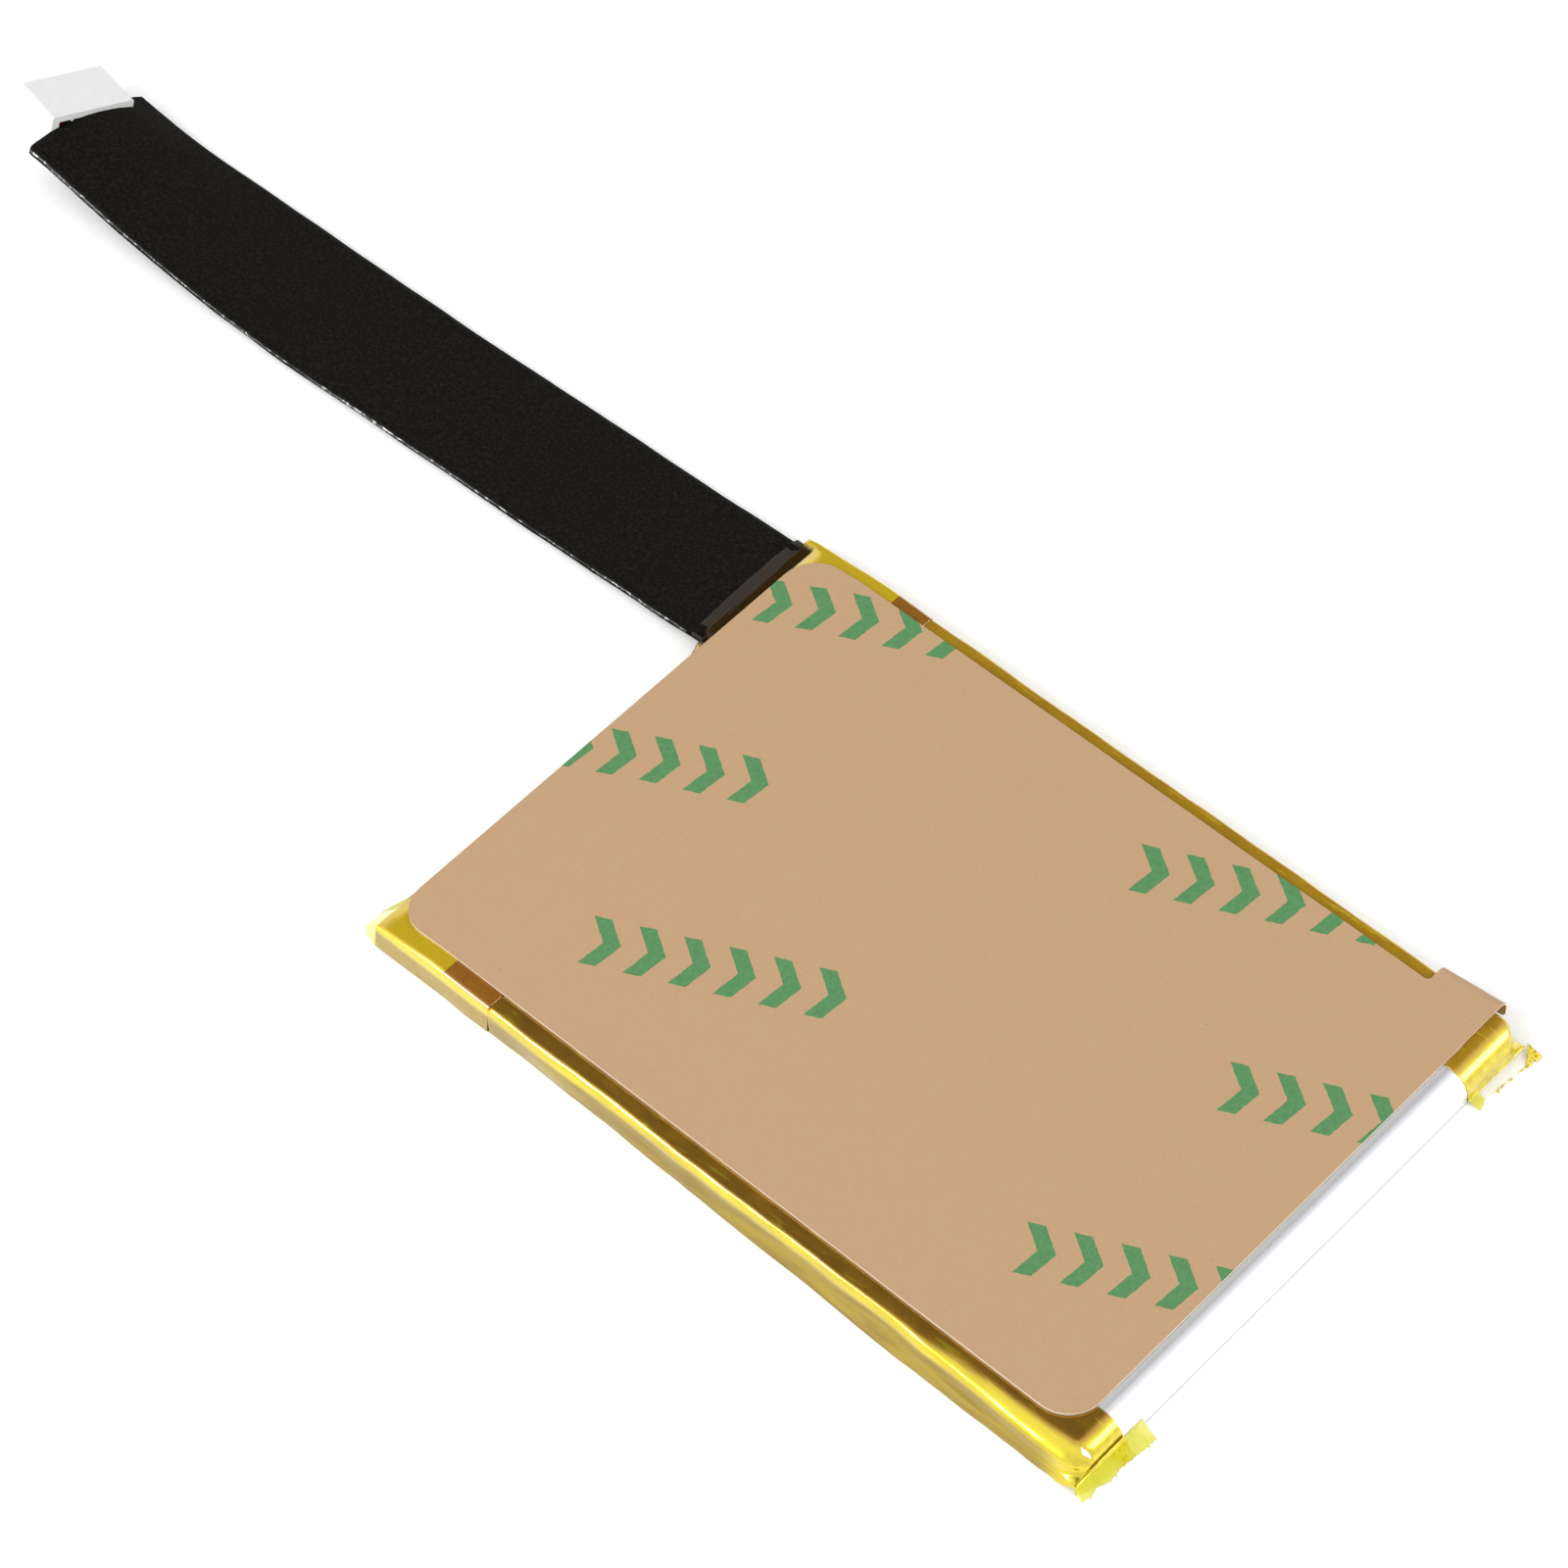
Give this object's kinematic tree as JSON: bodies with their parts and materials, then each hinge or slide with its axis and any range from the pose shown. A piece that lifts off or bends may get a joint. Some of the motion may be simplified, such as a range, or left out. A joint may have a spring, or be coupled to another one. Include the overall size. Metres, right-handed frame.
{
  "type": "pouch battery cell",
  "caption": "Thin rectangular lithium-polymer pouch cell with film-taped edges, a peel-off paper liner over its adhesive face, and a flat cloth-covered lead with a white plug.",
  "frame": {"origin": "centre of the pack's underside, without the lead, the tape ends and the pull tab", "axes": "+X towards the closed end of the pouch, the lead leaves towards -X, +Z out of the adhesive face"},
  "size_m": [0.2254, 0.0756, 0.0086],
  "materials": {
    "pouch_foil": "satin laminate",
    "anode_coating": "matte graphite coating",
    "cathode_coating": "matte oxide coating",
    "separator_film": "thin white film",
    "copper_foil": "bright foil",
    "aluminium_foil": "bright foil",
    "nickel": "rolled strip",
    "sealant_film": "translucent film",
    "board_laminate": "solder mask",
    "fish_paper": "matte fibre paper",
    "chip_plastic": "moulded",
    "fuse_ceramic": "fired",
    "sensor_ceramic": "fired",
    "solder": "bright",
    "wire_insulation": "extruded",
    "polyimide_film": "glossy film",
    "adhesive": "clear adhesive",
    "kraft_liner": "smooth kraft paper",
    "red_insulation": "extruded",
    "white_insulation": "extruded",
    "black_felt": "needled felt",
    "white_nylon": "moulded",
    "tinned_contact": "tinned"
  },
  "bodies": {
    "pack": {"pouch": "pouch_foil", "anode_plates": "anode_coating", "cathode_plates": "cathode_coating", "separator": "separator_film", "negative_tail": "copper_foil", "positive_tail": "aluminium_foil", "negative_tab": "nickel", "positive_tab": "aluminium_foil", "tab_sealant": "sealant_film", "circuit_board": "board_laminate", "board_insulator": "fish_paper", "nickel_pads": "nickel", "protection_chip": "chip_plastic", "switch_transistors": "chip_plastic", "fuse": "fuse_ceramic", "temperature_sensor": "sensor_ceramic", "chip_resistors": "sensor_ceramic", "solder_joints": "solder", "wire_ends": "wire_insulation", "side_tape_near": "polyimide_film", "side_tape_far": "polyimide_film", "end_tape": "polyimide_film", "adhesive_sheet": "adhesive"},
    "liner": {"release_liner": "kraft_liner"},
    "pull_tab": {"liner_pull_tab": "kraft_liner"},
    "lead": {"positive_wires": "red_insulation", "sense_wire": "white_insulation", "negative_wires": "wire_insulation", "lead_jacket": "black_felt", "plug_housing": "white_nylon", "plug_contacts": "tinned_contact"}
  },
  "joints": [
    {"name": "liner_lift", "type": "slide", "parent": "pack", "child": "liner", "axis": [0, 0, 1], "range_m": [0, 0.03]},
    {"name": "pull_tab_fold", "type": "hinge", "parent": "liner", "child": "pull_tab", "pos_m": [0.045, 0.037, 0.0045], "axis": [1, 0, 0], "range_deg": [0, 150]},
    {"name": "lead_flex", "type": "hinge", "parent": "pack", "child": "lead", "pos_m": [-0.0539, 0.02685, 0.00175], "axis": [0, 1, 0], "range_deg": [0, 90]}
  ]
}
